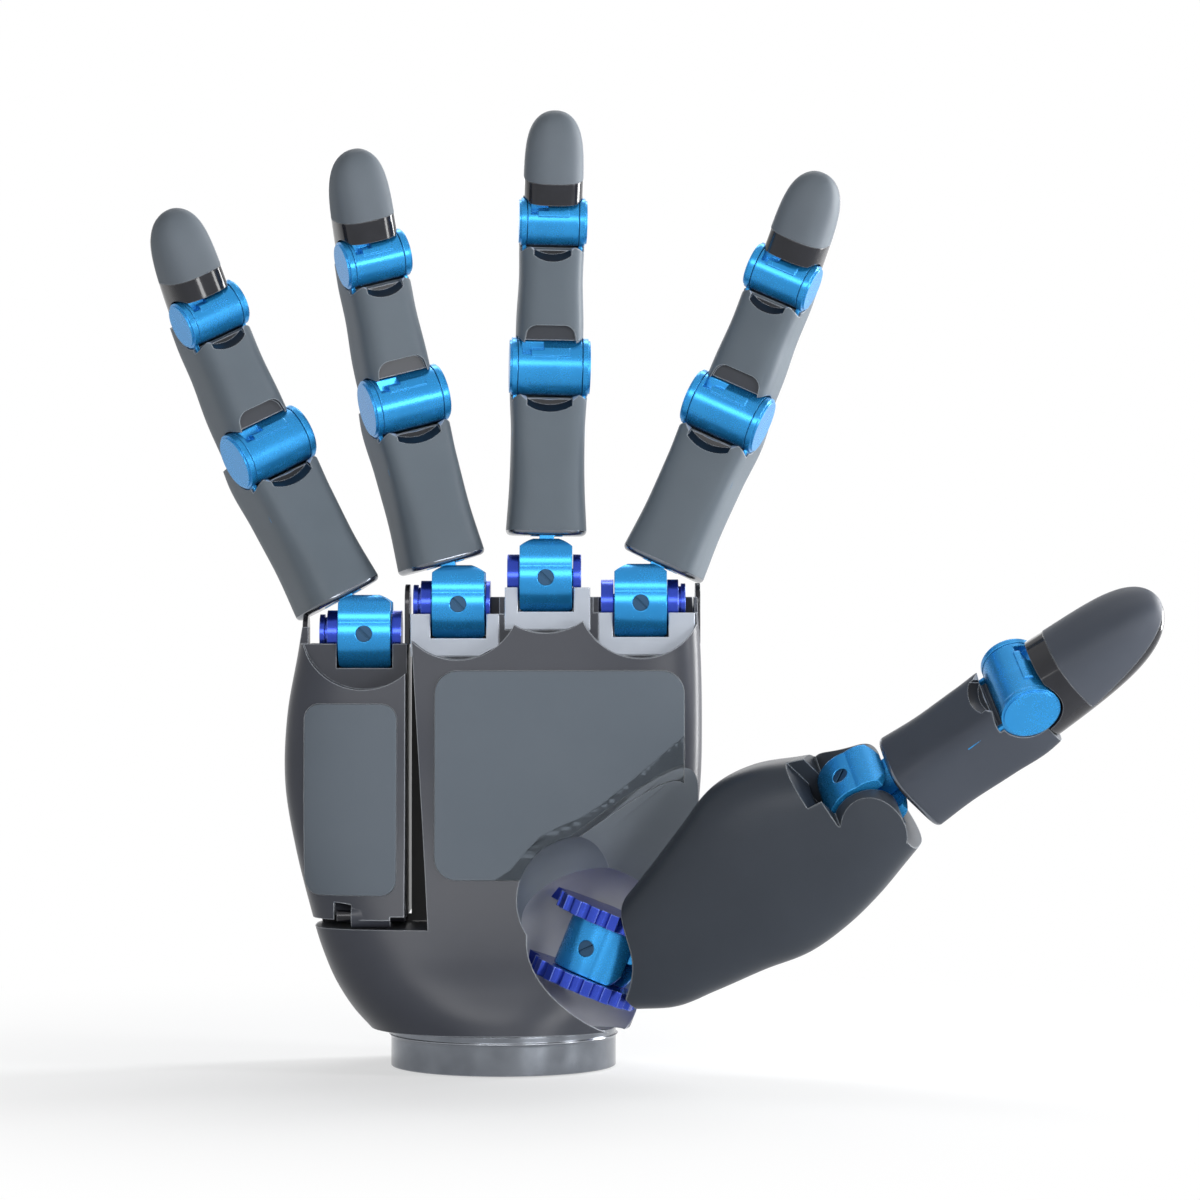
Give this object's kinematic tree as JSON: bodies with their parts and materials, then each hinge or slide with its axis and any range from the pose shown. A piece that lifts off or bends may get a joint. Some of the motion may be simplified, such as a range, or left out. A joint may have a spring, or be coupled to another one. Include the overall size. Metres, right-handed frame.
{
  "type": "dexterous robot hand",
  "caption": "Right robot hand with splayed fingers, an opposed thumb and a folding little metacarpal on a round bolted wrist flange.",
  "frame": {"origin": "centre of the wrist flange's mounting face", "axes": "+Z from the wrist toward the fingertips, -Y out of the palm, +X toward the thumb"},
  "size_m": [0.2184, 0.0777, 0.211],
  "materials": {
    "gloss_dark": "high-gloss dark moulding",
    "flange_metal": "polished dark anodised aluminium",
    "body_metal": "satin anthracite aluminium, glossy on its curves",
    "thumb_casing": "satin anthracite moulding",
    "soft_pad": "fine matte grey grip skin",
    "block_metal": "fine-milled grey aluminium",
    "motor_steel": "brushed steel cans",
    "royal_anodised": "royal blue anodised aluminium",
    "pin_steel": "blackened steel",
    "blue_anodised": "satin light blue anodised aluminium",
    "finger_casing": "fine matte grey moulding"
  },
  "bodies": {
    "palm": {"wrist_flange": "flange_metal", "palm_shell": "body_metal", "palm_back_cover": "body_metal", "palm_pad": "soft_pad", "knuckle_blocks": "block_metal", "knuckle_axles": "royal_anodised", "palm_drive_pack": "motor_steel", "thumb_base_bracket": "royal_anodised", "little_hinge_pin": "pin_steel"},
    "little_metacarpal": {"little_metacarpal_shell": "body_metal", "little_metacarpal_pad": "soft_pad", "little_knuckle_axle": "royal_anodised"},
    "index_knuckle": {"index_yoke": "blue_anodised", "index_pivot_screw": "pin_steel"},
    "index_proximal": {"index_proximal_frame": "blue_anodised", "index_proximal_shell": "finger_casing"},
    "index_middle": {"index_middle_frame": "blue_anodised", "index_middle_shell": "finger_casing"},
    "index_distal": {"index_distal_frame": "blue_anodised", "index_distal_shell": "gloss_dark", "index_tip_pad": "soft_pad"},
    "long_knuckle": {"long_yoke": "blue_anodised", "long_pivot_screw": "pin_steel"},
    "long_proximal": {"long_proximal_frame": "blue_anodised", "long_proximal_shell": "finger_casing"},
    "long_middle": {"long_middle_frame": "blue_anodised", "long_middle_shell": "finger_casing"},
    "long_distal": {"long_distal_frame": "blue_anodised", "long_distal_shell": "gloss_dark", "long_tip_pad": "soft_pad"},
    "ring_knuckle": {"ring_yoke": "blue_anodised", "ring_pivot_screw": "pin_steel"},
    "ring_proximal": {"ring_proximal_frame": "blue_anodised", "ring_proximal_shell": "finger_casing"},
    "ring_middle": {"ring_middle_frame": "blue_anodised", "ring_middle_shell": "finger_casing"},
    "ring_distal": {"ring_distal_frame": "blue_anodised", "ring_distal_shell": "gloss_dark", "ring_tip_pad": "soft_pad"},
    "little_knuckle": {"little_yoke": "blue_anodised", "little_pivot_screw": "pin_steel"},
    "little_proximal": {"little_proximal_frame": "blue_anodised", "little_proximal_shell": "finger_casing"},
    "little_middle": {"little_middle_frame": "blue_anodised", "little_middle_shell": "finger_casing"},
    "little_distal": {"little_distal_frame": "blue_anodised", "little_distal_shell": "gloss_dark", "little_tip_pad": "soft_pad"},
    "thumb_base": {"thumb_base_yoke": "blue_anodised", "thumb_base_pivot": "pin_steel"},
    "thumb_metacarpal": {"thumb_metacarpal_frame": "blue_anodised", "thumb_metacarpal_shell": "thumb_casing", "thumb_knuckle_axle": "royal_anodised"},
    "thumb_knuckle": {"thumb_yoke": "blue_anodised", "thumb_pivot_screw": "pin_steel"},
    "thumb_proximal": {"thumb_proximal_frame": "blue_anodised", "thumb_proximal_shell": "finger_casing"},
    "thumb_distal": {"thumb_distal_frame": "blue_anodised", "thumb_distal_shell": "gloss_dark", "thumb_tip_pad": "soft_pad"}
  },
  "joints": [
    {"name": "little_metacarpal_fold", "type": "hinge", "parent": "palm", "child": "little_metacarpal", "pos_m": [0, -0.0142, 0.034], "axis": [1, 0, 0], "range_deg": [0, 12]},
    {"name": "index_knuckle_bend", "type": "hinge", "parent": "palm", "child": "index_knuckle", "pos_m": [0.0305, 0, 0.1027], "axis": [1, 0, 0], "range_deg": [-15, 80]},
    {"name": "index_spread", "type": "hinge", "parent": "index_knuckle", "child": "index_proximal", "pos_m": [0.0305, 0, 0.1027], "axis": [0, 1, 0], "range_deg": [-16, 5]},
    {"name": "index_middle_bend", "type": "hinge", "parent": "index_proximal", "child": "index_middle", "pos_m": [0.04999, 0, 0.14547], "axis": [0.8866, -0.225, -0.4041], "range_deg": [-10, 90]},
    {"name": "index_tip_bend", "type": "hinge", "parent": "index_middle", "child": "index_distal", "pos_m": [0.06203, -0.00547, 0.17494], "axis": [0.8866, -0.225, -0.4041], "range_deg": [-10, 70]},
    {"name": "long_knuckle_bend", "type": "hinge", "parent": "palm", "child": "long_knuckle", "pos_m": [0.0095, 0, 0.1083], "axis": [1, 0, 0], "range_deg": [-15, 80]},
    {"name": "long_spread", "type": "hinge", "parent": "long_knuckle", "child": "long_proximal", "pos_m": [0.0095, 0, 0.1083], "axis": [0, 1, 0], "range_deg": [-10, 10]},
    {"name": "long_middle_bend", "type": "hinge", "parent": "long_proximal", "child": "long_middle", "pos_m": [0.01024, 0, 0.15529], "axis": [0.9985, 0.0523, -0.0157], "range_deg": [-10, 90]},
    {"name": "long_tip_bend", "type": "hinge", "parent": "long_middle", "child": "long_distal", "pos_m": [0.01103, -0.0056, 0.1871], "axis": [0.9985, 0.0523, -0.0157], "range_deg": [-10, 70]},
    {"name": "ring_knuckle_bend", "type": "hinge", "parent": "palm", "child": "ring_knuckle", "pos_m": [-0.0099, 0, 0.1024], "axis": [1, 0, 0], "range_deg": [-15, 80]},
    {"name": "ring_spread", "type": "hinge", "parent": "ring_knuckle", "child": "ring_proximal", "pos_m": [-0.0099, 0, 0.1024], "axis": [0, 1, 0], "range_deg": [-8, 10]},
    {"name": "ring_middle_bend", "type": "hinge", "parent": "ring_proximal", "child": "ring_middle", "pos_m": [-0.02214, 0, 0.14778], "axis": [0.9182, 0.309, 0.2478], "range_deg": [-10, 90]},
    {"name": "ring_tip_bend", "type": "hinge", "parent": "ring_middle", "child": "ring_distal", "pos_m": [-0.02876, -0.00533, 0.17894], "axis": [0.9182, 0.309, 0.2478], "range_deg": [-10, 70]},
    {"name": "little_knuckle_bend", "type": "hinge", "parent": "little_metacarpal", "child": "little_knuckle", "pos_m": [-0.0307, 0, 0.0958], "axis": [1, 0, 0], "range_deg": [-15, 80]},
    {"name": "little_spread", "type": "hinge", "parent": "little_knuckle", "child": "little_proximal", "pos_m": [-0.0307, 0, 0.0958], "axis": [0, 1, 0], "range_deg": [-5, 8]},
    {"name": "little_middle_bend", "type": "hinge", "parent": "little_proximal", "child": "little_middle", "pos_m": [-0.05247, 0, 0.13745], "axis": [0.8032, 0.4226, 0.4199], "range_deg": [-10, 90]},
    {"name": "little_tip_bend", "type": "hinge", "parent": "little_middle", "child": "little_distal", "pos_m": [-0.06511, -0.00508, 0.16674], "axis": [0.8032, 0.4226, 0.4199], "range_deg": [-10, 70]},
    {"name": "thumb_swing", "type": "hinge", "parent": "palm", "child": "thumb_base", "pos_m": [0.0209, -0.01, 0.0261], "axis": [0.3746, 0, 0.9272], "range_deg": [-50, 5]},
    {"name": "thumb_lift", "type": "hinge", "parent": "thumb_base", "child": "thumb_metacarpal", "pos_m": [0.0209, -0.01, 0.0261], "axis": [0.3171, 0.9397, -0.1281], "range_deg": [-5, 28]},
    {"name": "thumb_knuckle_bend", "type": "hinge", "parent": "thumb_metacarpal", "child": "thumb_knuckle", "pos_m": [0.07754, -0.02786, 0.06122], "axis": [-0.1861, 0.7612, 0.6213], "range_deg": [-50, 8]},
    {"name": "thumb_spread", "type": "hinge", "parent": "thumb_knuckle", "child": "thumb_proximal", "pos_m": [0.07754, -0.02786, 0.06122], "axis": [0.5825, 0.5947, -0.5541], "range_deg": [-12, 12]},
    {"name": "thumb_tip_bend", "type": "hinge", "parent": "thumb_proximal", "child": "thumb_distal", "pos_m": [0.11109, -0.03883, 0.08471], "axis": [-0.1861, 0.7612, 0.6213], "range_deg": [-75, 0]}
  ]
}
